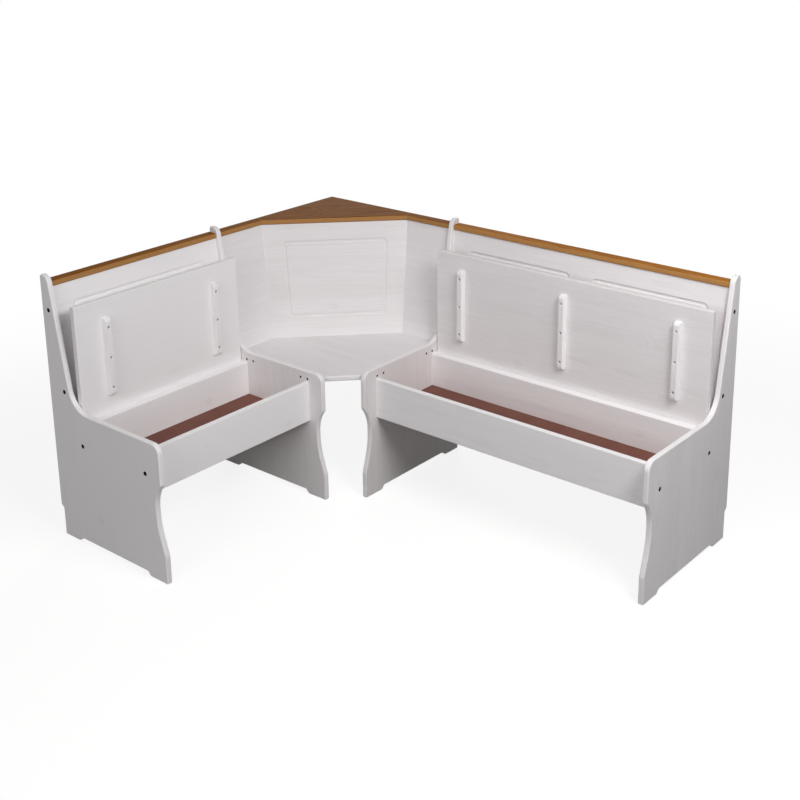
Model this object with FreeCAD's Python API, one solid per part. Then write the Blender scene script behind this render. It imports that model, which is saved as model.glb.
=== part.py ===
import FreeCAD, Part
import math
import os

from FreeCAD import Vector

# Corner storage bench: a long and a short chest bench joined by a corner seat, all of pine boards.
# Lengths are in millimetres. The model is built from the room corner: the long bench runs along +X
# with its back to the wall at y = 0, the short bench runs along -Y with its back to the wall at x = 0.
# "depth" always means the distance in front of a bench's wall. At the end everything is shifted so
# that the origin is under the middle of the whole outline, on the floor.

os.makedirs("parts", exist_ok=True)

# Boards and overall layout
board = 18.0
long_box_length = 1030.0
short_box_length = 650.0
panel_height = 858.0
edge_round = 4.0
board_edge_round = 3.0

# Seat box
leg_room = 270.0
box_board_height = 136.0
box_rear_depth = 156.5
box_depth = 270.0
rear_board_thickness = 27.0
floor_thickness = 4.0
floor_groove_rise = 17.0
groove_depth = 6.0
groove_clearance = 0.2
floor_end_gap = 0.5
slat_width = 40.0

# Side panel outline
front_reveal = 57.5
foot_step = 2.0
arm_rise = 18.0
arm_corner_radius = 30.0
arm_root_radius = 80.0
head_rear_radius = 10.0
head_front_radius = 27.0
panel_reveal = 14.0
scallop_rise = 46.0
scallop_depth = 27.0
scallop_entry_angle = 35.0
foot_flare_angle = 17.0
foot_height = 88.0
kink_radius = 10.0
foot_top_radius = 25.0
skirting_depth = 12.0
skirting_height = 90.0
skirting_slope = 11.0
front_foot_length = 79.0
rear_foot_length = 69.0
toe_cut_height = 13.0
toe_cut_front_run = 11.0
toe_cut_rear_run = 21.0
small_radius = 5.0

# Backrest and cap rail
cap_drop = 20.0
cap_thickness = 18.0
cap_depth = 33.0
cap_overhang = 5.3
cap_edge_round = 4.0
back_gap = 9.3
back_tuck = 10.0

# Routed fields
field_top_margin = 60.0
field_bottom_margin = 70.0
field_groove_width = 13.0
field_groove_cut = 3.0
field_corner_radius = 18.0
long_field_start_margin = 70.0
long_field_end_margin = 62.0
long_field_gap = 84.0
short_field_margin = 64.0
corner_field_top_margin = 67.0
corner_field_bottom_margin = 61.0

# Lid and its pivots
lid_end_gap = 2.0
lid_rest_gap = 0.3
lid_stop_gap = 0.05
lid_overhang = 31.5
lid_tail = 16.0
lid_edge_round = 2.0
pin_radius = 4.0
pin_in_lid = 30.0
pin_in_panel = 12.0
pin_end_clearance = 0.5
pin_running_clearance = 0.06
washer_radius = 8.0
washer_gap = 0.4
open_angle = 90.5

# Lid battens
batten_width = 20.0
batten_thickness = 18.0
batten_end_clearance = 10.0
batten_side_margin = 110.0
batten_edge_round = 2.0
batten_end_radius = 13.0
batten_screw_inset = 28.0
batten_screw_sink = 2.0
batten_screw_mouth_radius = 5.0
long_batten_shift = 8.5
short_batten_shift = 0.5

# Fasteners
fit_clearance = 0.05
head_clearance = 0.2
bolt_radius = 3.0
bolt_past_nut = 8.0
bolt_head_radius = 7.0
bolt_head_height = 4.0
bolt_head_chamfer = 0.4
socket_width = 5.0
socket_depth = 2.5
back_bolt_drop = 70.0
back_bolt_rise = 73.0
nut_radius = 5.0
nut_cover = 2.0
nut_setback = 34.0
dowel_radius = 4.0
dowel_in_panel = 10.0
dowel_in_board = 20.0
dowel_spread = 30.0
cap_dowel_radius = 3.0
cap_dowel_in_cap = 10.0
cap_dowel_in_back = 14.0
screw_radius = 2.2
screw_head_radius = 4.0
screw_head_height = 2.4
cross_length = 4.4
cross_width = 0.9
cross_depth = 1.6
batten_screw_length = 28.0

# Corner unit
corner_front_step = 78.0
shelf_front_distance = 299.8
seat_front_setback = 34.0
seat_tuck = 17.0
seat_edge_round = 5.0
seat_screw_rise = 10.0
seat_screw_length = 55.0
seat_screw_rear_depth = 154.0
seat_screw_front_margin = 60.0
seat_screw_pair = 31.0
cleat_size = 25.0
cleat_rear_margin = 50.0
cleat_front_margin = 68.0
cleat_screw_length = 38.0
cleat_screw_inset = 20.0
brace_wall_gap = 3.0
brace_end_gap = 1.0
back_screw_length = 45.0

# Derived heights and depths
box_top = leg_room + box_board_height
box_middle = leg_room + box_board_height / 2
floor_top = leg_room + floor_groove_rise + floor_thickness
lid_bottom = box_top + lid_rest_gap
seat_top = box_top + board
arm_height = seat_top + arm_rise
box_front_depth = box_rear_depth + box_depth
board_face_depth = box_front_depth + board
rear_board_depth = box_rear_depth - rear_board_thickness
panel_front_depth = board_face_depth + front_reveal
foot_front_depth = panel_front_depth + foot_step
lid_lean = math.radians(open_angle - 90)
stop_reach = board / 2 * math.cos(lid_lean) + lid_tail * math.sin(lid_lean)
pivot_depth = rear_board_depth - lid_stop_gap - stop_reach
pivot_height = lid_bottom + board / 2
corner_reach = foot_front_depth + corner_front_step + board
lid_rear_depth = pivot_depth - lid_tail
lid_front_depth = board_face_depth + lid_overhang
inner_panel_start = corner_reach - board
cap_top = panel_height - cap_drop
cap_bottom = cap_top - cap_thickness
back_top_depth = cap_depth - cap_overhang
back_foot_depth = lid_rear_depth - back_gap
back_lean = (back_foot_depth - back_top_depth) / (cap_bottom - seat_top)
back_angle = math.atan(back_lean)
back_run = board / math.cos(back_angle)
field_height = (cap_bottom - seat_top) / math.cos(back_angle) - field_top_margin - field_bottom_margin
back_bolt_upper_height = cap_bottom - back_bolt_drop
back_bolt_lower_height = seat_top + back_bolt_rise
bolt_length = board + nut_setback + bolt_past_nut
nut_length = board - 2 * nut_cover
washer_thickness = lid_end_gap - washer_gap
batten_length = box_depth - 2 * batten_end_clearance
batten_screw_pitch = batten_length / 2 - batten_screw_inset
seat_front_depth = panel_front_depth - seat_front_setback
seat_rear_depth = back_foot_depth - back_run - seat_tuck
cleat_rear_depth = seat_rear_depth + cleat_rear_margin
cleat_front_depth = seat_front_depth - cleat_front_margin
brace_height = (seat_top + cap_bottom) / 2
shelf_back_distance = shelf_front_distance - cap_overhang
mitre_angle = math.radians(22.5)

NEAR = 1e-6
ORIGIN = Vector(0, 0, 0)
ALONG = Vector(1, 0, 0)
UP = Vector(0, 0, 1)
FORWARD = Vector(0, -1, 0)


def panel_plane(a, b):
    """Point of an upright plane across a bench: depth a, height b."""
    return Vector(0, -a, b)


def floor_plane(a, b):
    """Point of a level plane: a along the wall, b in front of it."""
    return Vector(a, -b, 0)


def face_plane(a, b):
    """Point of an upright plane along a wall: a along it, height b."""
    return Vector(a, 0, b)


def rounded_wire(corners, place):
    """Closed wire through (a, b, radius) corners, set in space by place(a, b)."""
    stops = []
    for index, (a, b, radius) in enumerate(corners):
        here = FreeCAD.Vector(a, b, 0)
        before = FreeCAD.Vector(corners[index - 1][0], corners[index - 1][1], 0)
        after = FreeCAD.Vector(*corners[(index + 1) % len(corners)][:2], 0)
        arriving = (here - before).normalize()
        leaving = (after - here).normalize()
        half_turn = arriving.getAngle(leaving) / 2
        start = here - arriving * (radius * math.tan(half_turn))
        end = here + leaving * (radius * math.tan(half_turn))
        inward = leaving - arriving
        middle = here
        if radius > 0:
            middle = here + inward.normalize() * (radius / math.cos(half_turn) - radius)
        stops.append((start, middle, end, radius))
    edges = []
    for index, (start, middle, end, radius) in enumerate(stops):
        last = stops[index - 1][2]
        if last.distanceToPoint(start) > NEAR:
            edges.append(Part.LineSegment(place(last.x, last.y), place(start.x, start.y)).toShape())
        if radius > 0:
            points = [place(point.x, point.y) for point in (start, middle, end)]
            edges.append(Part.Arc(*points).toShape())
    return Part.Wire(edges)


def plate(corners, place, push):
    """Solid plate: the outline of (a, b, radius) corners pushed along a vector."""
    return Part.Face(rounded_wire(corners, place)).extrude(push)


def block(start, end, rear, front, bottom, top):
    """Box from start to end along the wall, rear to front in depth, bottom to top in height."""
    return Part.makeBox(end - start, front - rear, top - bottom, Vector(start, -front, bottom))


def rod(radius, length, base, direction):
    return Part.makeCylinder(radius, length, base, direction)


def round_edges(shape, radius, wanted):
    """Round those edges of a shape that wanted(edge) picks."""
    return shape.makeFillet(radius, [edge for edge in shape.Edges if wanted(edge)])


def runs_along(edge, direction):
    """True for a straight edge that lies along a direction."""
    line = edge.Vertexes[-1].Point - edge.Vertexes[0].Point
    return edge.Curve.TypeId == "Part::GeomLine" and line.cross(direction).Length < NEAR * line.Length


def joined(shapes):
    """One shape of separate solids."""
    return Part.makeCompound(shapes)


def drilled(shape, tools):
    """Shape with every tool cut out of it."""
    return shape.cut(tools) if tools else shape


def back_depth(height):
    """Depth of a backrest's front face at a height."""
    return back_top_depth + back_lean * (cap_bottom - height)


def back_middle(height):
    """Depth of a backrest board's middle at a height."""
    return back_depth(height) - back_run / 2


def placed(shape, base, direction):
    """Piece that was made upright at the origin, moved to start at base and point along direction."""
    shape.Placement = FreeCAD.Placement(base, FreeCAD.Rotation(UP, direction))
    return shape


def bolt(base, direction):
    """Bolt with a flat round head, chamfered, and a hexagon socket; the head lies flush at base."""
    head = rod(bolt_head_radius, bolt_head_height, ORIGIN, UP)
    rim = [edge for edge in head.Edges if edge.BoundBox.ZMax < NEAR]
    head = head.makeChamfer(bolt_head_chamfer, rim)
    shape = head.fuse(rod(bolt_radius, bolt_length - bolt_head_chamfer, UP * bolt_head_chamfer, UP))
    socket_reach = socket_width / 2 / math.cos(math.radians(30))
    corners = [Vector(socket_reach, 0, 0)]
    for _ in range(6):
        corners.append(FreeCAD.Rotation(UP, 60).multVec(corners[-1]))
    socket = Part.Face(Part.makePolygon(corners)).extrude(UP * socket_depth)
    return placed(shape.cut(socket).removeSplitter(), base, direction)


def countersunk_screw(length, base, direction):
    """Countersunk screw with a cross recess; the head lies flush at base."""
    head = Part.makeCone(screw_head_radius, screw_radius, screw_head_height)
    shape = head.fuse(rod(screw_radius, length, ORIGIN, UP)).removeSplitter()
    bar = Part.makeBox(cross_length, cross_width, cross_depth, Vector(-cross_length / 2, -cross_width / 2, 0))
    crossing = bar.copy()
    crossing.rotate(ORIGIN, UP, 90)
    return placed(shape.cut([bar, crossing]), base, direction)


def bolt_hole(base, direction):
    """Hole for a bolt, with its head's counterbore."""
    head = rod(bolt_head_radius + head_clearance, bolt_head_height, base, direction)
    return head.fuse(rod(bolt_radius + fit_clearance, bolt_length + fit_clearance, base, direction))


def screw_hole(length, base, direction):
    """Hole for a countersunk screw, a little larger all round."""
    head_radius = screw_head_radius + fit_clearance
    radius = screw_radius + fit_clearance
    head = Part.makeCone(head_radius, radius, screw_head_height, base, direction)
    return head.fuse(rod(radius, length + fit_clearance, base, direction))


class Bench:
    """One chest bench, built as the long one; the short one is its mirror image across the corner."""

    def __init__(self, name, length, batten_count, batten_shift):
        self.name = name
        self.start = corner_reach
        self.end = corner_reach + length
        self.batten_count = batten_count
        self.batten_shift = batten_shift

    def bolt_places(self):
        """(depth, height) of the four bolts at each end: two in the backrest, two in the box boards."""
        upper = (back_middle(back_bolt_upper_height), back_bolt_upper_height)
        lower = (back_middle(back_bolt_lower_height), back_bolt_lower_height)
        rear = (box_rear_depth - rear_board_thickness / 2, box_middle)
        front = (box_front_depth + board / 2, box_middle)
        return [upper, lower, rear, front]

    def bolt_bases(self):
        """Start point and direction of every bolt, outer end first."""
        bases = []
        for depth, height in self.bolt_places():
            bases.append((Vector(self.end + board, -depth, height), -ALONG))
            bases.append((Vector(self.start - board, -depth, height), ALONG))
        return bases

    def dowel_places(self):
        """(depth, height) of the dowels at each board's end."""
        rear = box_rear_depth - rear_board_thickness / 2
        front = box_front_depth + board / 2
        places = []
        for height in (box_middle - dowel_spread, box_middle + dowel_spread):
            places.append((rear, height))
            places.append((front, height))
        bolt_spread = back_bolt_upper_height - back_bolt_lower_height
        for height in (back_bolt_lower_height + bolt_spread / 3, back_bolt_upper_height - bolt_spread / 3):
            places.append((back_middle(height), height))
        return places

    def dowel_rods(self, grown):
        """End dowels, or with a clearance the holes that hold them."""
        rods = []
        length = dowel_in_panel + dowel_in_board + 2 * grown
        for depth, height in self.dowel_places():
            low = Vector(self.start - dowel_in_panel - grown, -depth, height)
            high = Vector(self.end + dowel_in_panel + grown, -depth, height)
            rods.append(rod(dowel_radius + grown, length, low, ALONG))
            rods.append(rod(dowel_radius + grown, length, high, -ALONG))
        return rods

    def cap_dowel_rods(self, grown):
        """Upright dowels between the backrest's top and the cap rail."""
        count = 2 * self.batten_count - 1
        spacing = (self.end - self.start) / (count + 1)
        depth = back_middle(cap_bottom - cap_dowel_in_back / 2)
        length = cap_dowel_in_cap + cap_dowel_in_back + 2 * grown
        rods = []
        for index in range(count):
            along = self.start + spacing * (index + 1)
            base = Vector(along, -depth, cap_bottom - cap_dowel_in_back - grown)
            rods.append(rod(cap_dowel_radius + grown, length, base, UP))
        return rods

    def nut_cylinders(self, radius, length, sunk):
        """Barrel nuts, or with sunk the blind holes that open in each board's hidden face."""
        lean_out = Vector(0, -math.cos(back_angle), math.sin(back_angle))
        upper, lower, rear, front = self.bolt_places()
        seats = [
            (upper, lean_out, board / 2),
            (lower, lean_out, board / 2),
            (rear, FORWARD, rear_board_thickness / 2),
            (front, FORWARD, board / 2),
        ]
        cylinders = []
        for (depth, height), inward, half_wall in seats:
            reach = half_wall if sunk else length / 2
            for along in (self.start + nut_setback, self.end - nut_setback):
                centre = Vector(along, -depth, height)
                cylinders.append(rod(radius, reach + length / 2, centre - inward * reach, inward))
        return cylinders

    def side_outline(self):
        """Side panel's outline as (depth, height, radius) corners, from the rear foot round the head."""
        head_front = back_depth(panel_height) + panel_reveal
        root = back_depth(arm_height) + panel_reveal
        scallop_top = leg_room + scallop_rise
        scallop_floor = panel_front_depth - scallop_depth
        waist_top = scallop_top - scallop_depth / math.tan(math.radians(scallop_entry_angle))
        flare = (foot_front_depth - scallop_floor) / math.tan(math.radians(foot_flare_angle))
        waist_bottom = foot_height + flare
        waist = waist_top - waist_bottom
        entry_radius = 0.4 * waist / math.tan(math.radians(scallop_entry_angle / 2))
        flare_radius = 0.44 * waist / math.tan(math.radians(foot_flare_angle / 2))
        toe_front = foot_front_depth - front_foot_length
        toe_rear = skirting_depth + rear_foot_length
        return [
            (skirting_depth, 0, small_radius),
            (skirting_depth, skirting_height, small_radius),
            (0, skirting_height + skirting_slope, small_radius),
            (0, panel_height, head_rear_radius),
            (head_front, panel_height, head_front_radius),
            (root, arm_height, arm_root_radius),
            (panel_front_depth, arm_height, arm_corner_radius),
            (panel_front_depth, scallop_top, kink_radius),
            (scallop_floor, waist_top, entry_radius),
            (scallop_floor, waist_bottom, flare_radius),
            (foot_front_depth, foot_height, foot_top_radius),
            (foot_front_depth, 0, small_radius),
            (toe_front, 0, small_radius),
            (toe_front - toe_cut_front_run, toe_cut_height, small_radius),
            (toe_rear + toe_cut_rear_run, toe_cut_height, small_radius),
            (toe_rear, 0, small_radius),
        ]

    def side_panel(self, start):
        """Side panel with every edge rounded over, before drilling."""
        panel = plate(self.side_outline(), panel_plane, ALONG * board)
        panel = round_edges(panel, edge_round, lambda edge: edge.BoundBox.XLength < NEAR)
        panel.translate(ALONG * start)
        return panel

    def pin_hole(self, base, direction):
        radius = pin_radius + pin_running_clearance
        return rod(radius, pin_in_panel + pin_end_clearance, base, direction)

    def outer_side(self):
        holes = [bolt_hole(base, way) for base, way in self.bolt_bases() if way.x < 0]
        holes.append(self.pin_hole(Vector(self.end, -pivot_depth, pivot_height), ALONG))
        return drilled(self.side_panel(self.end), holes + self.dowel_rods(fit_clearance))

    def inner_side(self):
        holes = [bolt_hole(base, way) for base, way in self.bolt_bases() if way.x > 0]
        holes.append(self.pin_hole(Vector(self.start, -pivot_depth, pivot_height), -ALONG))
        holes += [screw_hole(seat_screw_length, base, way) for base, way in seat_screw_bases()]
        holes += [screw_hole(cleat_screw_length, base, way) for base, way in cleat_screw_bases()]
        return drilled(self.side_panel(self.start - board), holes + self.dowel_rods(fit_clearance))

    def board_holes(self):
        """Everything drilled into the boards between the panels."""
        holes = [bolt_hole(base, way) for base, way in self.bolt_bases()]
        holes += self.nut_cylinders(nut_radius + fit_clearance, nut_length + 2 * fit_clearance, True)
        return holes + self.dowel_rods(fit_clearance)

    def box_board(self, rear, front, groove_rear):
        """Box board with rounded long edges, a groove for the floor and its end holes."""
        shape = block(self.start, self.end, rear, front, leg_room, box_top)
        shape = round_edges(shape, board_edge_round, lambda edge: runs_along(edge, ALONG))
        groove_front = groove_rear + groove_depth
        low = leg_room + floor_groove_rise - groove_clearance
        high = floor_top + groove_clearance
        groove = block(self.start, self.end, groove_rear, groove_front, low, high)
        return drilled(shape, [groove] + self.board_holes())

    def front_board(self):
        return self.box_board(box_front_depth, board_face_depth, box_front_depth)

    def rear_board(self):
        return self.box_board(rear_board_depth, box_rear_depth, box_rear_depth - groove_depth)

    def box_floor(self):
        rear = box_rear_depth - groove_depth + groove_clearance
        front = box_front_depth + groove_depth - groove_clearance
        bottom = floor_top - floor_thickness
        return block(self.start + floor_end_gap, self.end - floor_end_gap, rear, front, bottom, floor_top)

    def floor_slats(self):
        """Slats across the box under its floor, one fewer than the lid has battens."""
        count = self.batten_count - 1
        spacing = (self.end - self.start) / (count + 1)
        slats = []
        for index in range(count):
            middle = self.start + spacing * (index + 1)
            start = middle - slat_width / 2
            top = floor_top - floor_thickness
            slats.append(block(start, start + slat_width, box_rear_depth, box_front_depth, leg_room, top))
        return joined(slats)

    def back(self):
        """Inclined backrest board with its routed fields, between the side panels."""
        bottom = box_top - back_tuck
        shape = back_slab(self.start, self.end, bottom, cap_bottom, back_top_depth)
        rings = [routed_ring(*field) for field in self.fields()]
        return drilled(shape, rings + self.board_holes() + self.cap_dowel_rods(fit_clearance))

    def fields(self):
        """Middle, top width and bottom width of each routed field."""
        if self.name == "long":
            start = self.start + long_field_start_margin
            end = self.end - long_field_end_margin
            width = (end - start - long_field_gap) / 2
            return [(start + width / 2, width, width), (end - width / 2, width, width)]
        width = self.end - self.start - 2 * short_field_margin
        return [((self.start + self.end) / 2, width, width)]

    def cap_rail(self):
        shape = block(self.start, self.end, 0, cap_depth, cap_bottom, cap_top)
        shape = round_edges(shape, cap_edge_round, is_front_rail_edge)
        return drilled(shape, self.cap_dowel_rods(fit_clearance))

    def opened(self, shape):
        """Swing a piece of the closed lid up to its open place."""
        shape.rotate(Vector(0, -pivot_depth, pivot_height), ALONG, -open_angle)
        return shape

    def batten_middles(self):
        first = self.start + batten_side_margin
        last = self.end - batten_side_margin
        step = (last - first) / (self.batten_count - 1)
        return [first + step * index for index in range(self.batten_count)]

    def batten_screw_bases(self):
        """Start points of the batten screws, on the closed lid's lower side."""
        centre = (box_rear_depth + box_front_depth) / 2 + self.batten_shift
        bases = []
        for along in self.batten_middles():
            for step in (-1, 0, 1):
                depth = centre + step * batten_screw_pitch
                bases.append(Vector(along, -depth, lid_bottom - batten_thickness + batten_screw_sink))
        return bases

    def lid(self):
        start = self.start + lid_end_gap
        end = self.end - lid_end_gap
        shape = block(start, end, lid_rear_depth, lid_front_depth, lid_bottom, lid_bottom + board)
        shape = shape.makeFillet(lid_edge_round, shape.Edges)
        holes = [screw_hole(batten_screw_length, base, UP) for base in self.batten_screw_bases()]
        holes += self.pin_rods(fit_clearance)
        return self.opened(drilled(shape, holes))

    def batten_mouths(self):
        """Wide conical mouths over the sunk screw heads, in the battens' faces."""
        throat = screw_head_radius + fit_clearance
        mouths = []
        for base in self.batten_screw_bases():
            face = base - UP * batten_screw_sink
            mouths.append(Part.makeCone(batten_screw_mouth_radius, throat, batten_screw_sink, face, UP))
        return mouths

    def lid_battens(self):
        """Battens under the lid: both ends rounded down to the lid, and the free edges eased."""
        centre = (box_rear_depth + box_front_depth) / 2 + self.batten_shift
        rear = centre - batten_length / 2
        front = centre + batten_length / 2
        bottom = lid_bottom - batten_thickness
        profile = [
            (rear, lid_bottom, 0),
            (rear, bottom, batten_end_radius),
            (front, bottom, batten_end_radius),
            (front, lid_bottom, 0),
        ]
        holes = [screw_hole(batten_screw_length, base, UP) for base in self.batten_screw_bases()]
        holes += self.batten_mouths()
        battens = []
        for along in self.batten_middles():
            batten = plate(profile, panel_plane, ALONG * batten_width)
            batten = round_edges(batten, batten_edge_round, lambda edge: is_batten_face_edge(edge, bottom))
            batten.translate(ALONG * (along - batten_width / 2))
            battens.append(drilled(batten, holes))
        return self.opened(joined(battens))

    def batten_screws(self):
        screws = [countersunk_screw(batten_screw_length, base, UP) for base in self.batten_screw_bases()]
        return self.opened(joined(screws))

    def pin_rods(self, grown):
        """Pivot pins in both ends of the closed lid."""
        length = pin_in_panel + lid_end_gap + pin_in_lid + grown
        low = Vector(self.start - pin_in_panel, -pivot_depth, pivot_height)
        high = Vector(self.end + pin_in_panel, -pivot_depth, pivot_height)
        radius = pin_radius + grown
        return [rod(radius, length, low, ALONG), rod(radius, length, high, -ALONG)]

    def lid_pins(self):
        return self.opened(joined(self.pin_rods(0)))

    def lid_washers(self):
        """Spacer washers on the pins, against the lid's ends."""
        low = Vector(self.start + lid_end_gap - washer_thickness, -pivot_depth, pivot_height)
        high = Vector(self.end - lid_end_gap, -pivot_depth, pivot_height)
        washers = []
        for base in (low, high):
            ring = rod(washer_radius, washer_thickness, base, ALONG)
            washers.append(ring.cut(rod(pin_radius + fit_clearance, washer_thickness, base, ALONG)))
        return self.opened(joined(washers))

    def bolts(self, outer):
        chosen = [(base, way) for base, way in self.bolt_bases() if (way.x < 0) == outer]
        return joined([bolt(base, way) for base, way in chosen])

    def barrel_nuts(self):
        """Cross nuts in the boards, each with the hole that its bolt passes through."""
        radius = bolt_radius + fit_clearance
        holes = [rod(radius, bolt_length, base, way) for base, way in self.bolt_bases()]
        nuts = self.nut_cylinders(nut_radius, nut_length, False)
        return joined([drilled(nut, holes) for nut in nuts])

    def pieces(self):
        """Every piece of this bench by its node name."""
        return {
            self.name + "_outer_side": self.outer_side(),
            self.name + "_inner_side": self.inner_side(),
            self.name + "_front_board": self.front_board(),
            self.name + "_rear_board": self.rear_board(),
            self.name + "_box_floor": self.box_floor(),
            self.name + "_floor_slats": self.floor_slats(),
            self.name + "_back": self.back(),
            self.name + "_cap_rail": self.cap_rail(),
            self.name + "_lid": self.lid(),
            self.name + "_lid_battens": self.lid_battens(),
            self.name + "_batten_screws": self.batten_screws(),
            self.name + "_lid_pins": self.lid_pins(),
            self.name + "_lid_washers": self.lid_washers(),
            self.name + "_outer_bolts": self.bolts(True),
            self.name + "_inner_bolts": self.bolts(False),
            self.name + "_barrel_nuts": self.barrel_nuts(),
            self.name + "_end_dowels": joined(self.dowel_rods(0)),
            self.name + "_cap_dowels": joined(self.cap_dowel_rods(0)),
        }


def is_front_rail_edge(edge):
    """Long front edges of a cap rail, at the cap's full depth."""
    return runs_along(edge, ALONG) and abs(edge.BoundBox.YMin + cap_depth) < NEAR


def is_batten_face_edge(edge, bottom):
    """The two long edges of a batten's free face."""
    return runs_along(edge, FORWARD) and abs(edge.BoundBox.ZMax - bottom) < NEAR


def back_slab(start, end, bottom, top, top_depth):
    """Leaning board whose front face is at top_depth under the cap rail."""
    low = top_depth + back_lean * (cap_bottom - bottom)
    high = top_depth + back_lean * (cap_bottom - top)
    corners = [(low, bottom, 0), (low - back_run, bottom, 0), (high - back_run, top, 0), (high, top, 0)]
    slab = plate(corners, panel_plane, ALONG * (end - start))
    slab.translate(ALONG * start)
    return slab


def routed_ring(middle, top_width, bottom_width, top_depth=back_top_depth):
    """Cutter for a routed field: a round-bottomed groove along a four-sided ring on the leaning face."""
    inset = field_groove_width / 2
    cutter_radius = (inset ** 2 + field_groove_cut ** 2) / (2 * field_groove_cut)
    stand_off = cutter_radius - field_groove_cut
    radius = field_corner_radius - inset
    top = -field_top_margin - inset
    bottom = -field_top_margin - field_height + inset
    corners = [
        (-bottom_width / 2 + inset, bottom, radius),
        (bottom_width / 2 - inset, bottom, radius),
        (top_width / 2 - inset, top, radius),
        (-top_width / 2 + inset, top, radius),
    ]
    path = rounded_wire(corners, face_plane)
    circle = Part.Circle(Vector(0, 0, bottom), ALONG, cutter_radius).toShape()
    ring = path.makePipeShell([Part.Wire(circle)], True, False)
    ring.translate(FORWARD * stand_off)
    ring.rotate(ORIGIN, ALONG, -math.degrees(back_angle))
    ring.translate(Vector(middle, -top_depth, cap_bottom))
    return ring


def seat_screw_bases():
    """Corner seat screws through the long bench's inner panel, from its box side."""
    rear = seat_screw_rear_depth
    front = seat_front_depth - seat_screw_front_margin
    depths = [rear, rear + seat_screw_pair, front, front + seat_screw_pair]
    height = box_top + seat_screw_rise
    return [(Vector(corner_reach, -depth, height), -ALONG) for depth in depths]


def cleat_screw_bases():
    """Screws from the long side's seat cleat into the inner panel."""
    height = box_top - cleat_size / 2
    start = inner_panel_start - cleat_size
    first = cleat_rear_depth + cleat_screw_inset
    last = cleat_front_depth - cleat_screw_inset
    return [(Vector(start, -depth, height), ALONG) for depth in (first, (first + last) / 2, last)]


def mirrored(shape):
    """The same piece on the short bench's side, across the corner's diagonal."""
    return shape.mirror(ORIGIN, Vector(1, 1, 0))


def turned(shape):
    """Turn a piece made along the long wall to face the corner's diagonal."""
    shape.rotate(ORIGIN, UP, 45)
    return shape


def mitre_point(reach):
    """Point of the mitre line in plan, a distance in front of the cap's front corner."""
    corner = Vector(math.sqrt(2) * shelf_front_distance - cap_depth, -cap_depth, 0)
    return corner + Vector(math.sin(mitre_angle), -math.cos(mitre_angle), 0) * reach


def diagonal_half_width(height):
    """Half the diagonal backrest's width at a height, along its face."""
    corner = mitre_point((back_depth(height) - cap_depth) / math.cos(mitre_angle))
    return (corner.x + corner.y) / math.sqrt(2)


def mitre_ends():
    """Where the mitre line meets the wall, and a point well in front of the backrests."""
    wall_reach = -cap_depth / math.cos(mitre_angle)
    return mitre_point(wall_reach), mitre_point(box_depth)


def plan_prism(points, bottom, top):
    """Upright prism over a plan outline."""
    corners = [Vector(point.x, point.y, bottom) for point in points]
    wire = Part.makePolygon(corners + corners[:1])
    return Part.Face(wire).extrude(UP * (top - bottom))


def across(point):
    """A plan point's mirror image across the corner's diagonal."""
    return Vector(-point.y, -point.x, 0)


def return_zone(bottom, top):
    """Space of the long side's return: from the mitre line to the inner panel."""
    wall, front = mitre_ends()
    end = inner_panel_start
    return plan_prism([wall, front, Vector(end, front.y, 0), Vector(end, 0, 0)], bottom, top)


def diagonal_zone(bottom, top):
    """Space between the two mitre lines."""
    wall, front = mitre_ends()
    return plan_prism([wall, front, across(front), across(wall)], bottom, top)


def back_screw_bases():
    """Screws from under the corner seat into the long side's return and the diagonal backrest."""
    grip = seat_top + (back_screw_length - board) / 2
    near = mitre_point(0).x
    straight = []
    for share in (0.35, 0.75):
        along = near + share * (inner_panel_start - near)
        straight.append(Vector(along, -back_middle(grip), box_top))
    slant = back_middle(grip) - back_top_depth + shelf_back_distance
    diagonal = []
    side = diagonal_half_width(seat_top) - corner_field_bottom_margin
    for along in (-side, 0, side):
        spot = Vector(along, -slant, box_top)
        diagonal.append(FreeCAD.Rotation(UP, 45).multVec(spot))
    return straight, diagonal


def corner_cap_dowels(grown):
    """Upright dowels between the corner backrests and what caps them."""
    depth = back_middle(cap_bottom - cap_dowel_in_back / 2)
    length = cap_dowel_in_cap + cap_dowel_in_back + 2 * grown
    base_height = cap_bottom - cap_dowel_in_back - grown
    middle = (mitre_point(0).x + inner_panel_start) / 2
    straight = rod(cap_dowel_radius + grown, length, Vector(middle, -depth, base_height), UP)
    slant = depth - back_top_depth + shelf_back_distance
    rods = [straight, mirrored(straight)]
    side = diagonal_half_width(cap_bottom) / 2
    for along in (-side, side):
        base = Vector(along, -slant, base_height)
        rods.append(turned(rod(cap_dowel_radius + grown, length, base, UP)))
    return rods


def all_back_screw_bases():
    straight, diagonal = back_screw_bases()
    return straight + [across(point) + UP * point.z for point in straight] + diagonal


def corner_return():
    """Plain leaning board between the diagonal backrest and the long bench's inner panel."""
    slab = back_slab(0, inner_panel_start, seat_top, cap_bottom, back_top_depth)
    shape = slab.common(return_zone(seat_top, cap_bottom))
    holes = [screw_hole(back_screw_length, base, UP) for base in back_screw_bases()[0]]
    return drilled(shape, holes + corner_cap_dowels(fit_clearance)[:1])


def corner_diagonal():
    """Leaning board across the corner, with one routed rectangle."""
    reach = corner_reach
    slab = back_slab(-reach, reach, seat_top, cap_bottom, shelf_back_distance)
    field_top = cap_bottom - field_top_margin * math.cos(back_angle)
    field_bottom = seat_top + field_bottom_margin * math.cos(back_angle)
    top_width = 2 * (diagonal_half_width(field_top) - corner_field_top_margin)
    bottom_width = 2 * (diagonal_half_width(field_bottom) - corner_field_bottom_margin)
    ring = routed_ring(0, top_width, bottom_width, shelf_back_distance)
    shape = turned(slab.cut(ring)).common(diagonal_zone(seat_top, cap_bottom))
    holes = [screw_hole(back_screw_length, base, UP) for base in back_screw_bases()[1]]
    return drilled(shape, holes + corner_cap_dowels(fit_clearance)[2:])


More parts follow.
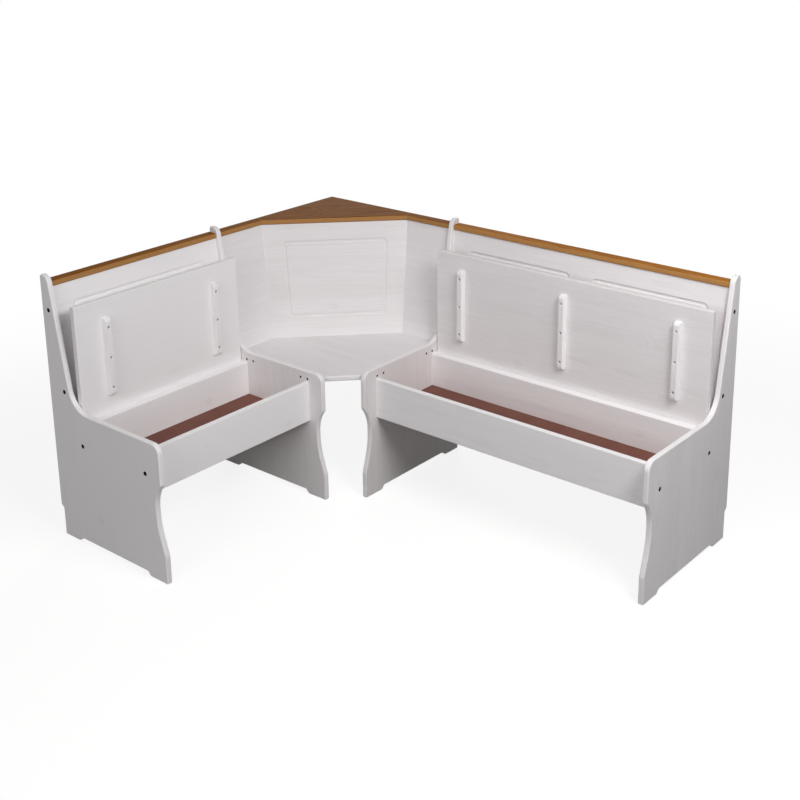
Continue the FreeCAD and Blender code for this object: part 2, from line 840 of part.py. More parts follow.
def corner_shelf():
    """Shelf board over the space behind the diagonal backrest."""
    wall = mitre_ends()[0]
    front = mitre_point(0)
    outline = [ORIGIN, wall, front, across(front), across(wall)]
    shape = plan_prism(outline, cap_bottom, cap_top)
    diagonal = Vector(1, 1, 0)
    shape = round_edges(shape, cap_edge_round, lambda edge: runs_along(edge, diagonal))
    return drilled(shape, corner_cap_dowels(fit_clearance)[2:])


def corner_cap_strip():
    """Narrow cap strip beside the long bench, mitred against the shelf."""
    shape = block(0, inner_panel_start, 0, cap_depth, cap_bottom, cap_top)
    shape = shape.common(return_zone(cap_bottom, cap_top))
    shape = round_edges(shape, cap_edge_round, is_front_rail_edge)
    return drilled(shape, corner_cap_dowels(fit_clearance)[:1])


def corner_seat():
    """Corner seat board between the inner panels, with its short front edge across the corner."""
    end = inner_panel_start
    front = seat_front_depth
    rear = seat_rear_depth
    outline = [
        Vector(rear, -rear, 0),
        Vector(end, -rear, 0),
        Vector(end, -front, 0),
        Vector(front, -end, 0),
        Vector(rear, -end, 0),
    ]
    shape = plan_prism(outline, box_top, seat_top)
    shape = round_edges(shape, seat_edge_round, lambda edge: runs_along(edge, Vector(1, 1, 0)))
    long_side = [screw_hole(seat_screw_length, base, way) for base, way in seat_screw_bases()]
    holes = long_side + [mirrored(hole) for hole in long_side]
    holes += [screw_hole(back_screw_length, base, UP) for base in all_back_screw_bases()]
    return drilled(shape, holes)


def seat_screws():
    """Black screws that hold the corner seat between the inner panels."""
    long_side = [countersunk_screw(seat_screw_length, base, way) for base, way in seat_screw_bases()]
    return joined(long_side + [mirrored(screw) for screw in long_side])


def seat_cleats():
    """Square cleats under the corner seat, one against each inner panel."""
    end = inner_panel_start
    bottom = box_top - cleat_size
    cleat = block(end - cleat_size, end, cleat_rear_depth, cleat_front_depth, bottom, box_top)
    cleat = drilled(cleat, [screw_hole(cleat_screw_length, base, way) for base, way in cleat_screw_bases()])
    return joined([cleat, mirrored(cleat)])


def cleat_screws():
    long_side = [countersunk_screw(cleat_screw_length, base, way) for base, way in cleat_screw_bases()]
    return joined(long_side + [mirrored(screw) for screw in long_side])


def corner_brace():
    """Level triangular board glued behind the diagonal backrest, its front edge cut to the lean."""
    top = brace_height + board
    low = shelf_back_distance + back_lean * (cap_bottom - brace_height) - back_run
    high = low - back_lean * board
    corners = [(0, brace_height, 0), (low, brace_height, 0), (high, top, 0), (0, top, 0)]
    behind = plate(corners, panel_plane, ALONG * (2 * corner_reach))
    behind.translate(ALONG * -corner_reach)
    near = brace_wall_gap
    far = mitre_point(0).x - brace_end_gap
    space = block(near, far, near, far, brace_height, top)
    return turned(behind).common(space)


def corner_pieces():
    """Every piece of the corner unit by its node name."""
    back_screws = [countersunk_screw(back_screw_length, base, UP) for base in all_back_screw_bases()]
    return {
        "corner_seat": corner_seat(),
        "corner_seat_screws": seat_screws(),
        "corner_seat_cleats": seat_cleats(),
        "corner_cleat_screws": cleat_screws(),
        "corner_back_long_side": corner_return(),
        "corner_back_short_side": mirrored(corner_return()),
        "corner_back_diagonal": corner_diagonal(),
        "corner_back_screws": joined(back_screws),
        "corner_brace": corner_brace(),
        "corner_shelf": corner_shelf(),
        "corner_cap_long_side": corner_cap_strip(),
        "corner_cap_short_side": mirrored(corner_cap_strip()),
        "corner_cap_dowels": joined(corner_cap_dowels(0)),
    }


def main():
    long_bench = Bench("long", long_box_length, 3, long_batten_shift)
    short_bench = Bench("short", short_box_length, 2, short_batten_shift)
    pieces = dict(long_bench.pieces())
    pieces.update({name: mirrored(shape) for name, shape in short_bench.pieces().items()})
    pieces.update(corner_pieces())
    half_length = (long_bench.end + board) / 2
    half_width = (short_bench.end + board) / 2
    for name, shape in pieces.items():
        shape.translate(Vector(-half_length, half_width, 0))
        shape.exportStep("parts/" + name + ".step")
        print(name, len(shape.Solids), round(shape.Volume), shape.isValid())


main()
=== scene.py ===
import math

import bpy
from mathutils import Matrix, Vector


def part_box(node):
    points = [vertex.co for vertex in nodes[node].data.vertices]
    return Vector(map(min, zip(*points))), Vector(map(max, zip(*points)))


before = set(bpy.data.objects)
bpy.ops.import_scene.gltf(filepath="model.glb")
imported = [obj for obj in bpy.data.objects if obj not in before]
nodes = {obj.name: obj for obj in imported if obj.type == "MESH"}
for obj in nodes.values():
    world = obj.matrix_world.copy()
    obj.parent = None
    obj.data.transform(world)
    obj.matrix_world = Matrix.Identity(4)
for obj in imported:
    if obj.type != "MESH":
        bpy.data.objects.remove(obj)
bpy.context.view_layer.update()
scene = bpy.context.scene

# Directions in the bench's own frame: along the long bench, along the short bench, up, and
# along and across the diagonal of the corner.
X_WAY = Vector((1, 0, 0))
Y_WAY = Vector((0, 1, 0))
UP = Vector((0, 0, 1))
DIAGONAL = Vector((1, 1, 0)).normalized()
OUT_OF_CORNER = Vector((1, -1, 0)).normalized()

MM = 0.001


def linear(code):
    """An sRGB hex colour as linear red, green, blue and alpha."""
    channels = [int(code[i:i + 2], 16) / 255 for i in (1, 3, 5)]
    lit = [c / 12.92 if c <= 0.04045 else ((c + 0.055) / 1.055) ** 2.4 for c in channels]
    return (*lit, 1.0)


def grey(level):
    return (level, level, level, 1.0)


def add(tree, kind, inputs=None, stops=None, **settings):
    """Adds a node, sets it, fills a colour ramp's stops, and fills or joins its inputs."""
    node = tree.nodes.new("ShaderNode" + kind)
    for name, value in settings.items():
        setattr(node, name, value)
    if stops:
        ramp = node.color_ramp
        while len(ramp.elements) < len(stops):
            ramp.elements.new(1.0)
        for element, (place, colour) in zip(ramp.elements, stops):
            element.position = place
            element.color = colour
    for name, value in (inputs or {}).items():
        if isinstance(value, bpy.types.NodeSocket):
            tree.links.new(value, node.inputs[name])
        else:
            node.inputs[name].default_value = value
    return node


def sum_of(tree, start, *terms):
    """start plus each (value, weight) of the terms."""
    total = start
    for value, weight in terms:
        total = add(tree, "Math", {0: value, 1: weight, 2: total}, operation="MULTIPLY_ADD").outputs[0]
    return total


def new_material(name):
    material = bpy.data.materials.new(name)
    material.use_nodes = True
    tree = material.node_tree
    tree.nodes.clear()
    return material, tree


def finished(material, tree, **surface):
    """The shader itself, with its plain numbers on its own sockets."""
    shader = add(tree, "BsdfPrincipled", surface)
    add(tree, "OutputMaterial", {"Surface": shader.outputs[0]})
    return material


# The figure of sawn pine. Boards are glued up from staves. Each stave was cut beside its own
# pith, so its growth rings show as close lines near its edges and as long arches in the middle.
# The pith lies PITH_NEAR or more under the board's middle, and strays to either side.
STAVE_WIDTH = 92 * MM
FIRST_GLUE_LINE = 0.31
PITH_NEAR = 30 * MM
PITH_SPREAD = 95 * MM
PITH_STRAY = 0.9 * STAVE_WIDTH
RING_WIDTH = 3.6 * MM
TRUNK_TAPER = 0.05

# How far along the trunk each board, and each stave in it, was cut from the next one: metres.
BOARD_SHIFT = 7.3
STAVE_SHIFT = 3.0

# One year's ring from one winter to the next: pale early wood, then dark late wood. The least
# dark rings of a board have this share of the darkest one's colour.
YEAR = ((0.0, 0.35), (0.1, 0.0), (0.5, 0.18), (0.86, 1.0), (0.95, 0.9), (1.0, 0.35))
LEAST_RING = 0.35

# Knots: one at most in each cell of a loose grid, and none in KNOT_FREE of the cells. A knot
# fades out at its rim, and the rings swerve round it out to SWERVE_REACH times its radius.
KNOT_ALONG = 420 * MM
KNOT_ACROSS = 150 * MM
KNOT_RADIUS = 9 * MM
KNOT_STRETCH = 1.5
KNOT_RIM = (1.15, 0.75)
KNOT_FREE = 0.7
SWERVE_REACH = 6.0
SWERVE_DEPTH = 11 * MM

# How often a pattern repeats in a metre along, across and through a board. The slow wander of
# the rings is about 620 mm long and 170 mm wide, and shifts them by WANDER_DEPTH. Fibre streaks
# are about 140 mm long and 6 mm wide: real fibres are far finer and would not show, so they
# are drawn this coarse. Bands of tone are about 770 mm long and 45 mm wide.
WANDER = (1.6, 6.0, 6.0)
WANDER_DEPTH = 26 * MM
FIBRE = (7, 170, 170)
TONE = (1.3, 22, 22)


def pine_figure():
    """A node group: growth rings, fibre, slow tone, knots and stave tone of a board."""
    tree = bpy.data.node_groups.new("pine_figure", "ShaderNodeTree")
    for name in ("Origin", "Along", "Across", "Through"):
        tree.interface.new_socket(name, in_out="INPUT", socket_type="NodeSocketVector")
    tree.interface.new_socket("Seed", in_out="INPUT", socket_type="NodeSocketFloat")
    for name in ("Rings", "Fibre", "Tone", "Knot", "Stave"):
        tree.interface.new_socket(name, in_out="OUTPUT", socket_type="NodeSocketFloat")
    given = tree.nodes.new("NodeGroupInput").outputs

    place = add(tree, "TexCoord").outputs["Object"]
    place = add(tree, "VectorMath", {0: place, 1: given["Origin"]}, operation="SUBTRACT").outputs[0]
    along, across, through = (
        add(tree, "VectorMath", {0: place, 1: given[way]}, operation="DOT_PRODUCT").outputs["Value"]
        for way in ("Along", "Across", "Through")
    )

    # Which stave a point is in, how far it is from that stave's middle, and the stave's chances.
    stave_place = add(tree, "Math", {0: across, 1: STAVE_WIDTH}, operation="DIVIDE").outputs[0]
    stave_place = add(tree, "Math", {0: stave_place, 1: FIRST_GLUE_LINE}, operation="ADD").outputs[0]
    stave = add(tree, "Math", {0: stave_place}, operation="FLOOR").outputs[0]
    in_stave = add(tree, "Math", {0: stave_place}, operation="FRACT").outputs[0]
    in_stave = sum_of(tree, -STAVE_WIDTH / 2, (in_stave, STAVE_WIDTH))
    chance_place = add(tree, "CombineXYZ", {0: stave, 1: given["Seed"]}).outputs[0]
    chance = add(tree, "TexWhiteNoise", {"Vector": chance_place}, noise_dimensions="3D")
    chances = add(tree, "SeparateColor", {0: chance.outputs["Color"]}).outputs

    seeded = sum_of(tree, along, (given["Seed"], BOARD_SHIFT), (chances[1], STAVE_SHIFT))
    wood_place = add(tree, "CombineXYZ", {0: seeded, 1: across, 2: through}).outputs[0]

    cells = (1 / KNOT_ALONG, 1 / KNOT_ACROSS, 1 / KNOT_ACROSS)
    cell_size = (KNOT_ALONG / KNOT_STRETCH, KNOT_ACROSS, 0)
    knot_place = add(tree, "CombineXYZ", {0: seeded, 1: across}).outputs[0]
    cell_place = add(tree, "VectorMath", {0: knot_place, 1: cells}, operation="MULTIPLY").outputs[0]
    cell = add(tree, "TexVoronoi", {"Vector": cell_place, "Scale": 1.0}, voronoi_dimensions="2D")
    centre = cell.outputs["Position"]
    away = add(tree, "VectorMath", {0: cell_place, 1: centre}, operation="SUBTRACT").outputs[0]
    away = add(tree, "VectorMath", {0: away, 1: cell_size}, operation="MULTIPLY").outputs[0]
    away = add(tree, "VectorMath", {0: away}, operation="LENGTH").outputs["Value"]
    some = add(tree, "SeparateColor", {0: cell.outputs["Color"]}).outputs
    present = add(tree, "Math", {0: some[0], 1: KNOT_FREE}, operation="GREATER_THAN").outputs[0]
    size = sum_of(tree, KNOT_RADIUS / 2, (some[1], KNOT_RADIUS))
    reach = add(tree, "Math", {0: away, 1: size}, operation="DIVIDE").outputs[0]
    rim = {"Value": reach, "From Min": KNOT_RIM[0], "From Max": KNOT_RIM[1]}
    knot = add(tree, "MapRange", rim, interpolation_type="SMOOTHSTEP").outputs[0]
    knot = add(tree, "Math", {0: knot, 1: present}, operation="MULTIPLY").outputs[0]
    near_knot = {"Value": reach, "From Min": SWERVE_REACH, "From Max": 0.0}
    swerve = add(tree, "MapRange", near_knot, interpolation_type="SMOOTHERSTEP").outputs[0]
    swerve = add(tree, "Math", {0: swerve, 1: present}, operation="MULTIPLY").outputs[0]

    # Rings: distance from the pith, bent by slow wander and by the knots.
    pith_across = sum_of(tree, -PITH_STRAY / 2, (chances[0], PITH_STRAY))
    pith_depth = sum_of(tree, PITH_NEAR, (chances[1], PITH_SPREAD))
    off_across = add(tree, "Math", {0: in_stave, 1: pith_across}, operation="SUBTRACT").outputs[0]
    off_depth = add(tree, "Math", {0: through, 1: pith_depth}, operation="ADD").outputs[0]
    off_pith = add(tree, "CombineXYZ", {0: off_across, 1: off_depth}).outputs[0]
    radius = add(tree, "VectorMath", {0: off_pith}, operation="LENGTH").outputs["Value"]
    slow_place = add(tree, "VectorMath", {0: wood_place, 1: WANDER}, operation="MULTIPLY").outputs[0]
    slow = {"Vector": slow_place, "Scale": 1.0, "Detail": 2.0, "Roughness": 0.45}
    wander = add(tree, "TexNoise", slow).outputs["Fac"]
    taper = sum_of(tree, -TRUNK_TAPER / 2, (chances[2], TRUNK_TAPER))
    radius = sum_of(tree, radius, (wander, WANDER_DEPTH), (taper, along), (swerve, SWERVE_DEPTH))
    ring_place = add(tree, "Math", {0: radius, 1: RING_WIDTH}, operation="DIVIDE").outputs[0]
    ring = add(tree, "Math", {0: ring_place}, operation="FLOOR").outputs[0]
    in_ring = add(tree, "Math", {0: ring_place}, operation="FRACT").outputs[0]
    year = [(place_in_year, grey(dark)) for place_in_year, dark in YEAR]
    late = add(tree, "ValToRGB", {0: in_ring}, stops=year).outputs[0]
    ring_chance = add(tree, "CombineXYZ", {0: ring, 1: stave, 2: given["Seed"]}).outputs[0]
    ring_chance = add(tree, "TexWhiteNoise", {"Vector": ring_chance}, noise_dimensions="3D")
    ring_weight = sum_of(tree, LEAST_RING, (ring_chance.outputs["Value"], 1 - LEAST_RING))
    rings = add(tree, "Math", {0: late, 1: ring_weight}, operation="MULTIPLY").outputs[0]

    fibre_place = add(tree, "VectorMath", {0: wood_place, 1: FIBRE}, operation="MULTIPLY").outputs[0]
    streaks = {"Vector": fibre_place, "Scale": 1.0, "Detail": 4.0, "Roughness": 0.6}
    fibre = add(tree, "TexNoise", streaks).outputs["Fac"]
    tone_place = add(tree, "VectorMath", {0: wood_place, 1: TONE}, operation="MULTIPLY").outputs[0]
    bands = {"Vector": tone_place, "Scale": 1.0, "Detail": 3.0, "Roughness": 0.55}
    tone = add(tree, "TexNoise", bands).outputs["Fac"]

    result = tree.nodes.new("NodeGroupOutput")
    figure = {"Rings": rings, "Fibre": fibre, "Tone": tone, "Knot": knot, "Stave": chances[2]}
    for name, value in figure.items():
        tree.links.new(value, result.inputs[name])
    return tree


PINE_FIGURE = pine_figure()

# Cosines between a rounded normal and the flat one, at a face and at a full arris.
FACE_BEND = 0.995
ARRIS_BEND = 0.86


def arrises(tree, width):
    """1 on the arrises and corners of a piece, 0 on its faces."""
    soft = add(tree, "Bevel", {"Radius": width}, samples=6).outputs[0]
    flat = add(tree, "NewGeometry").outputs["True Normal"]
    alike = add(tree, "VectorMath", {0: soft, 1: flat}, operation="DOT_PRODUCT").outputs["Value"]
    bend = {"Value": alike, "From Min": FACE_BEND, "From Max": ARRIS_BEND}
    return add(tree, "MapRange", bend).outputs[0]


# The three finishes of the timber. "stops" are the wood's colours from its palest to its
# darkest, and "weights" say how much the rings, the fibre, the tone and the stave darken it.
# The highlight colour is a painted highlight on arrises and narrow faces, where the light catches them.
# "roughness" is the least roughness and what the fibre adds. "relief" is how deep the rings
# and the fibre are felt.
FINISHES = {
    # Planed pine under a thin sprayed white glaze, rubbed down: a cool white board with its
    # rings as faint grey lines, and a whiter painted highlight on its arrises and narrow faces.
    "white_glaze": {
        "stops": ((0.0, "#f4f1f2"), (0.35, "#e7e3e4"), (0.7, "#dcd6d6"), (1.0, "#ccc4c1")),
        "weights": (0.10, 0.35, 0.24, 0.08),
        "knot": "#cdc3bb", "knot_share": 0.12,
        "edge": "#f6f3f4", "edge_share": 0.9, "edge_grain": 0.15,
        "roughness": (0.42, 0.12), "sheen": 0.4, "relief": 0.025 * MM,
    },
    # Planed pine, stained and lacquered satin: warm brown with darker ring lines, and a lighter
    # painted highlight on its arrises and narrow faces, so the fronts look lighter than the tops.
    "honey_pine": {
        "stops": ((0.0, "#b5793a"), (0.3, "#8f5b26"), (0.6, "#7a4919"), (1.0, "#5a340f")),
        "weights": (0.50, 0.24, 0.30, 0.16),
        "knot": "#472611", "knot_share": 0.25,
        "edge": "#cd9d64", "edge_share": 0.8, "edge_grain": 0.3,
        "roughness": (0.52, 0.16), "sheen": 0.01, "relief": 0.06 * MM,
    },
    # Sawn and planed pine, left bare on the hidden pieces: pale straw with brown knots.
    "raw_pine": {
        "stops": ((0.0, "#ecd3a6"), (0.45, "#e0c08c"), (1.0, "#bb8b52")),
        "weights": (0.55, 0.22, 0.20, 0.12),
        "knot": "#7c4f2a", "knot_share": 0.85,
        "edge": "#ecd6ae", "edge_share": 0.2, "edge_grain": 0.3,
        "roughness": (0.65, 0.12), "sheen": 0.3, "relief": 0.08 * MM,
    },
}
USUAL_SHADE = -0.06
TIMBER_ARRIS = 2.5 * MM

# How many different figures the boards can have between them.
FIGURES = 97

# Cosines between a face's normal and the way through the board: a broad face, a narrow one.
BROAD_FACE = 0.92
NARROW_FACE = 0.35


def timber(piece, finish, along, through, lighter=0.0, edge_share=None):
    """The material of one board: its own figure, cut along its own length."""
    look = FINISHES[finish]
    material, tree = new_material(finish + "_" + piece)
    low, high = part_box(piece)
    figure = add(tree, "Group", {
        "Origin": (low + high) / 2,
        "Along": along,
        "Across": through.cross(along),
        "Through": through,
        "Seed": sum(ord(letter) for letter in piece) % FIGURES,
    }, node_tree=PINE_FIGURE).outputs
    shade = sum_of(tree, USUAL_SHADE - lighter,
                   *zip((figure[part] for part in ("Rings", "Fibre", "Tone", "Stave")), look["weights"]))
    stops = [(place, linear(code)) for place, code in look["stops"]]
    wood = add(tree, "ValToRGB", {0: shade}, stops=stops).outputs[0]
    knot = add(tree, "Math", {0: figure["Knot"], 1: look["knot_share"]}, operation="MULTIPLY").outputs[0]
    wood = add(tree, "Mix", {0: knot, 6: wood, 7: linear(look["knot"])}, data_type="RGBA").outputs[2]

    # Painted highlight: the narrow faces and arrises are mixed towards the highlight colour, with some of
    # the grain showing through it.
    facing = add(tree, "TexCoord").outputs["Normal"]
    facing = add(tree, "VectorMath", {0: facing, 1: through}, operation="DOT_PRODUCT").outputs["Value"]
    facing = add(tree, "Math", {0: facing}, operation="ABSOLUTE").outputs[0]
    turned = {"Value": facing, "From Min": BROAD_FACE, "From Max": NARROW_FACE}
    narrow = add(tree, "MapRange", turned).outputs[0]
    edge = add(tree, "Math", {0: narrow, 1: arrises(tree, TIMBER_ARRIS)}, operation="MAXIMUM").outputs[0]
    edge_share = look["edge_share"] if edge_share is None else edge_share
    edge = add(tree, "Math", {0: edge, 1: edge_share}, operation="MULTIPLY").outputs[0]
    grained_highlight = {0: look["edge_grain"], 6: linear(look["edge"]), 7: wood}
    grained_highlight = add(tree, "Mix", grained_highlight, data_type="RGBA", blend_type="MULTIPLY").outputs[2]
    colour = add(tree, "Mix", {0: edge, 6: wood, 7: grained_highlight}, data_type="RGBA").outputs[2]

    least, spread = look["roughness"]
    relief = look["relief"]
    rough = sum_of(tree, least, (figure["Fibre"], spread))
    height = sum_of(tree, 0.0, (figure["Rings"], relief), (figure["Fibre"], relief),
                    (figure["Knot"], relief * 2))
    bump = add(tree, "Bump", {"Height": height, "Distance": 1.0, "Strength": 1.0}).outputs[0]
    return finished(material, tree, **{"Base Color": colour, "Roughness": rough, "Normal": bump,
                                       "IOR": 1.5, "Specular IOR Level": look["sheen"]})


# Pressed hardboard. Its clumps of fibre are about 2.4 mm across: single fibres are a tenth of
# that and would not show, so they are drawn this coarse. Its stain is cloudy over about 110 mm.
FIBRE_CLUMPS = 420.0
STAIN_CLOUDS = 9.0
HARDBOARD_RELIEF = 0.12 * MM
HARDBOARD_SHADE = -0.15
CLUMP_SHARE = 0.75
CLOUD_SHARE = 0.55


def hardboard():
    """Pressed hardboard, stained brown: short fibres lie every way and leave it mottled and matt."""
    material, tree = new_material("brown_hardboard")
    place = add(tree, "TexCoord").outputs["Object"]
    clumps = {"Vector": place, "Scale": FIBRE_CLUMPS, "Detail": 3.0, "Roughness": 0.7, "Distortion": 1.2}
    fibres = add(tree, "TexNoise", clumps).outputs["Fac"]
    clouds = add(tree, "TexNoise", {"Vector": place, "Scale": STAIN_CLOUDS, "Detail": 3.0}).outputs["Fac"]
    shade = sum_of(tree, HARDBOARD_SHADE, (fibres, CLUMP_SHARE), (clouds, CLOUD_SHARE))
    browns = [(0.15, linear("#633c32")), (0.5, linear("#744a3f")), (0.85, linear("#83584c"))]
    colour = add(tree, "ValToRGB", {0: shade}, stops=browns).outputs[0]
    height = add(tree, "Math", {0: fibres, 1: HARDBOARD_RELIEF}, operation="MULTIPLY").outputs[0]
    bump = add(tree, "Bump", {"Height": height, "Distance": 1.0, "Strength": 1.0}).outputs[0]
    return finished(material, tree, **{"Base Color": colour, "Roughness": 0.62, "Normal": bump,
                                       "IOR": 1.5, "Specular IOR Level": 0.2})


# The wax on the blackened steel is grainy over about 0.7 mm, the zinc cloudy over about 1.4 mm.
# Each roughness is the least there is and what the grain or the cloud adds.
WAX_GRAINS = 1500.0
WAX_ROUGHNESS = (0.30, 0.22)
BOLT_RIM = 0.6 * MM
ZINC_CLOUDS = 700.0
ZINC_ROUGHNESS = (0.25, 0.25)


def blackened_bolt():
    """Blackened steel, waxed: near black, with a soft sheen and slightly paler worn rims."""
    material, tree = new_material("black_steel")
    place = add(tree, "TexCoord").outputs["Object"]
    grit = add(tree, "TexNoise", {"Vector": place, "Scale": WAX_GRAINS, "Detail": 2.0}).outputs["Fac"]
    worn = add(tree, "Math", {0: arrises(tree, BOLT_RIM), 1: grit}, operation="MULTIPLY").outputs[0]
    tones = {0: worn, 6: linear("#0c0b0b"), 7: linear("#1a1918")}
    colour = add(tree, "Mix", tones, data_type="RGBA").outputs[2]
    least, spread = WAX_ROUGHNESS
    rough = sum_of(tree, least, (grit, spread))
    return finished(material, tree, **{"Base Color": colour, "Roughness": rough, "IOR": 1.5,
                                       "Specular IOR Level": 0.05})


def zinc_plate():
    """Bright zinc plate on pressed steel: pale grey metal, a little cloudy."""
    material, tree = new_material("zinc_steel")
    place = add(tree, "TexCoord").outputs["Object"]
    cloud = add(tree, "TexNoise", {"Vector": place, "Scale": ZINC_CLOUDS, "Detail": 2.0}).outputs["Fac"]
    greys = [(0.3, linear("#8f9293")), (0.7, linear("#b9bbbc"))]
    colour = add(tree, "ValToRGB", {0: cloud}, stops=greys).outputs[0]
    least, spread = ZINC_ROUGHNESS
    rough = sum_of(tree, least, (cloud, spread))
    return finished(material, tree, **{"Base Color": colour, "Roughness": rough, "Metallic": 1.0})


HARDBOARD = hardboard()
BLACK_STEEL = blackened_bolt()
ZINC_STEEL = zinc_plate()


def dress(piece, material):
    for slot in nodes[piece].material_slots:
        slot.link = "OBJECT"
        slot.material = material


# How much paler than the usual board each glazed one is drawn, and how strongly the painted
# highlight lies on its arrises and narrow faces. The inner sides are drawn darker as painted
# shade under the benches, the short bench is drawn paler all over as painted light, and the
# long cap rail is drawn paler than the short one.
GLAZED = {
    "outer_side": (0.05, 0.9),
    # Painted shade: the inner sides are darker for the shade under the benches.
    "inner_side": (-0.3, 0.9),
    "front_board": (0.3, 0.9),
    "rear_board": (0.2, 0.9),
    "back": (0.0, 0.3),
    "lid": (0.05, 0.25),
    "lid_battens": (0.3, 0.3),
}
# Each bench's fourth number is painted light, which draws the short bench paler all over.
for bench, run, out, painted_light, rail_paler in (
    ("long", X_WAY, Y_WAY, 0.0, 0.3),
    ("short", Y_WAY, X_WAY, 0.28, 0.05),
):
    # Side panels stand upright and face along the bench, the open lid's battens stand upright
    # too, and every other board runs along the bench.
    cuts = {"side": (UP, run), "battens": (UP, out)}
    for board, (lighter, edge_share) in GLAZED.items():
        along, through = cuts.get(board.split("_")[-1], (run, out))
        piece = f"{bench}_{board}"
        dress(piece, timber(piece, "white_glaze", along, through, lighter + painted_light, edge_share))
    dress(f"{bench}_cap_rail", timber(f"{bench}_cap_rail", "honey_pine", run, UP, rail_paler))
    dress(f"{bench}_floor_slats", timber(f"{bench}_floor_slats", "raw_pine", run, UP))
    dress(f"{bench}_end_dowels", timber(f"{bench}_end_dowels", "raw_pine", run, UP))
    dress(f"{bench}_cap_dowels", timber(f"{bench}_cap_dowels", "raw_pine", UP, run))
    dress(f"{bench}_box_floor", HARDBOARD)
    for fixing in ("outer_bolts", "inner_bolts"):
        dress(f"{bench}_{fixing}", BLACK_STEEL)
    for fixing in ("batten_screws", "lid_pins", "lid_washers", "barrel_nuts"):
        dress(f"{bench}_{fixing}", ZINC_STEEL)

# How strongly the painted highlight lies on the corner pieces' arrises and narrow faces.
CORNER_HIGHLIGHT = 0.3
for piece, along, through, lighter in (
    ("corner_seat", X_WAY, UP, 0.0),
    ("corner_back_long_side", X_WAY, Y_WAY, 0.0),
    ("corner_back_short_side", Y_WAY, X_WAY, 0.0),
    ("corner_back_diagonal", -DIAGONAL, OUT_OF_CORNER, -0.12),
):
    dress(piece, timber(piece, "white_glaze", along, through, lighter, CORNER_HIGHLIGHT))
for piece, finish, along, through in (
    ("corner_shelf", "honey_pine", DIAGONAL, UP),
    ("corner_cap_long_side", "honey_pine", X_WAY, UP),
    ("corner_cap_short_side", "honey_pine", Y_WAY, UP),
    ("corner_seat_cleats", "raw_pine", X_WAY, UP),
    ("corner_brace", "raw_pine", DIAGONAL, UP),
    ("corner_cap_dowels", "raw_pine", UP, X_WAY),
):
    dress(piece, timber(piece, finish, along, through))
dress("corner_seat_screws", BLACK_STEEL)
for fixing in ("corner_cleat_screws", "corner_back_screws"):
    dress(fixing, ZINC_STEEL)


# Studio: a pale floor that runs out into white, a white sky, and soft lamps. Lengths in metres.
FLOOR_REACH = 30.0
FLOOR_DROP = 0.5 * MM
FLOOR_WHITE = (1.5, 3.0)
FLOOR_LIFT = 0.84
SKY_LIGHT = 0.1


def shown_white(tree):
    """1 for what the camera sees, directly or in metal or glass, and 0 for the light itself."""
    rays = add(tree, "LightPath").outputs
    straight = {0: rays["Is Camera Ray"], 1: rays["Is Glossy Ray"]}
    seen = add(tree, "Math", straight, operation="MAXIMUM").outputs[0]
    return add(tree, "Math", {0: seen, 1: rays["Is Transmission Ray"]}, operation="MAXIMUM").outputs[0]


def pale_floor():
    """A matt floor that keeps the bench's shadow near it and shows plain white farther out."""
    material, tree = new_material("pale_floor")
    white = linear("#ffffff")
    place = add(tree, "TexCoord").outputs["Object"]
    away = add(tree, "VectorMath", {0: place}, operation="LENGTH").outputs["Value"]
    fade = {"Value": away, "From Min": FLOOR_WHITE[0], "From Max": FLOOR_WHITE[1]}
    far = add(tree, "MapRange", fade, interpolation_type="SMOOTHSTEP").outputs[0]
    seen = shown_white(tree)
    matt = add(tree, "BsdfDiffuse", {"Color": linear("#858483")}).outputs[0]
    lift = add(tree, "Math", {0: seen, 1: FLOOR_LIFT}, operation="MULTIPLY").outputs[0]
    glow = add(tree, "Emission", {"Color": white, "Strength": lift}).outputs[0]
    near_floor = add(tree, "AddShader", {0: matt, 1: glow}).outputs[0]
    black = add(tree, "BsdfDiffuse", {"Color": grey(0.0)}).outputs[0]
    far_glow = add(tree, "Emission", {"Color": white, "Strength": seen}).outputs[0]
    far_floor = add(tree, "AddShader", {0: far_glow, 1: black}).outputs[0]
    far = add(tree, "Math", {0: far, 1: seen}, operation="MULTIPLY").outputs[0]
    surface = add(tree, "MixShader", {0: far, 1: near_floor, 2: far_floor}).outputs[0]
    add(tree, "OutputMaterial", {"Surface": surface})
    return material


def floor():
    corners = [(x * FLOOR_REACH, y * FLOOR_REACH, 0) for x, y in ((-1, -1), (1, -1), (1, 1), (-1, 1))]
    mesh = bpy.data.meshes.new("floor")
    mesh.from_pydata(corners, [], [(0, 1, 2, 3)])
    piece = bpy.data.objects.new("floor", mesh)
    piece.location.z = -FLOOR_DROP
    scene.collection.objects.link(piece)
    mesh.materials.append(pale_floor())


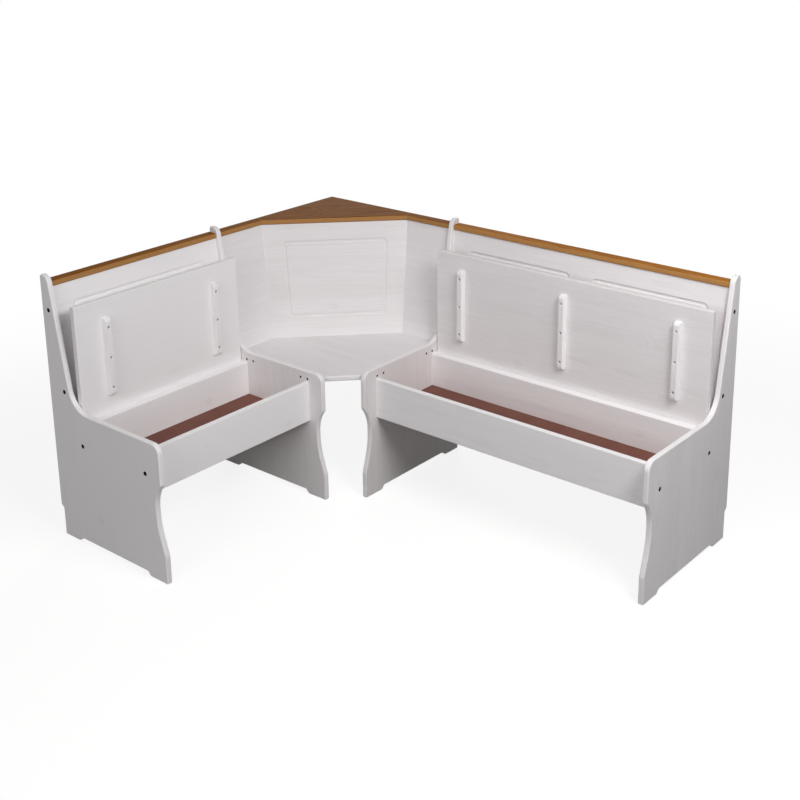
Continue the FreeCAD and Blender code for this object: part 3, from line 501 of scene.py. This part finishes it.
def sky():
    world = bpy.data.worlds.new("studio")
    scene.world = world
    world.use_nodes = True
    tree = world.node_tree
    tree.nodes.clear()
    levels = {"Value": shown_white(tree), "To Min": SKY_LIGHT, "To Max": 1.0}
    strength = add(tree, "MapRange", levels).outputs[0]
    glow = add(tree, "Background", {"Color": linear("#ffffff"), "Strength": strength}).outputs[0]
    add(tree, "OutputWorld", {"Surface": glow})


# Each square soft box: where it stands, where it looks, its side and its watts.
SOFT_BOXES = {
    "front_box": ((0.6, -4.2, 2.2), (-0.1, 0.1, 0.5), 2.4, 58),
    "right_box": ((1.9, -0.2, 2.3), (-0.4, 0.1, 0.5), 0.8, 27),
    "far_right_box": ((2.3, -0.9, 2.4), (-0.2, 0.1, 0.5), 0.6, 17),
    "corner_box": ((0.7, -0.5, 2.0), (-0.3, 0.25, 0.45), 1.1, 5),
    "back_box": ((-2.6, 2.8, 1.8), (0, 0.2, 0.6), 1.8, 42),
}


def soft_box(name, place, aim, size, power):
    data = bpy.data.lights.new(name, "AREA")
    data.shape = "SQUARE"
    data.size = size
    data.energy = power
    piece = bpy.data.objects.new(name, data)
    piece.location = place
    piece.rotation_mode = "QUATERNION"
    piece.rotation_quaternion = (Vector(place) - Vector(aim)).to_track_quat("Z", "Y")
    piece.visible_camera = False
    scene.collection.objects.link(piece)


# The photograph's viewpoint: place in metres, turn in degrees, lens in millimetres, and how
# far the picture is shifted in its frame.
VIEWPOINT = (2.4102, -2.7474, 2.0280)
AZIMUTH = 39.19
ELEVATION = 16.27
ROLL = -0.45
LENS = 58.36
SENSOR = 36.0
SHIFT = (-0.04, -0.2)


def camera():
    data = bpy.data.cameras.new("camera")
    data.sensor_width = SENSOR
    data.lens = LENS
    data.shift_x, data.shift_y = SHIFT
    piece = bpy.data.objects.new("camera", data)
    turn = Matrix.Rotation(math.radians(AZIMUTH), 4, "Z")
    tilt = Matrix.Rotation(math.pi / 2 - math.radians(ELEVATION), 4, "X")
    roll = Matrix.Rotation(math.radians(ROLL), 4, "Z")
    piece.matrix_world = Matrix.Translation(VIEWPOINT) @ turn @ tilt @ roll
    scene.collection.objects.link(piece)
    scene.camera = piece


floor()
sky()
for name, (place, aim, size, power) in SOFT_BOXES.items():
    soft_box(name, place, aim, size, power)
camera()
scene.view_settings.view_transform = "Standard"
